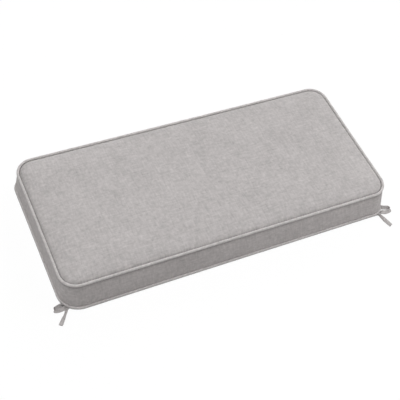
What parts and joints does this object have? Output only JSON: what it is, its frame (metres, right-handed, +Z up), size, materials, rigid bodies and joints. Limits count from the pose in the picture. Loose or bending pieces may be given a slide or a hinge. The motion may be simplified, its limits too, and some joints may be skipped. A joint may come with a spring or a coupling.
{
  "type": "boxed bench cushion",
  "caption": "Boxed bench seat cushion with a crowned top, straight boxing, welted top and bottom seams and looped fabric ties at its front corners.",
  "frame": {"origin": "middle of the flat rest face under the cushion, on the surface that it lies on", "axes": "+X along the cushion's length, towards its right end; +Y towards its rear long side; +Z up through the top panel. The long side with the ties faces -Y"},
  "size_m": [1.079, 0.5321, 0.1108],
  "materials": {
    "cover": "matt plain-weave linen-look cloth in pale warm grey with a fine light and dark melange",
    "welt": "the cover's cloth cut on the bias round a filler cord, matt",
    "tie": "the cover's cloth folded to a narrow strip and edge stitched, matt"
  },
  "bodies": {
    "root": {"cushion_body": "cover", "welt_top": "welt", "welt_bottom": "welt", "tie_left": "tie", "tie_right": "tie"}
  },
  "joints": []
}
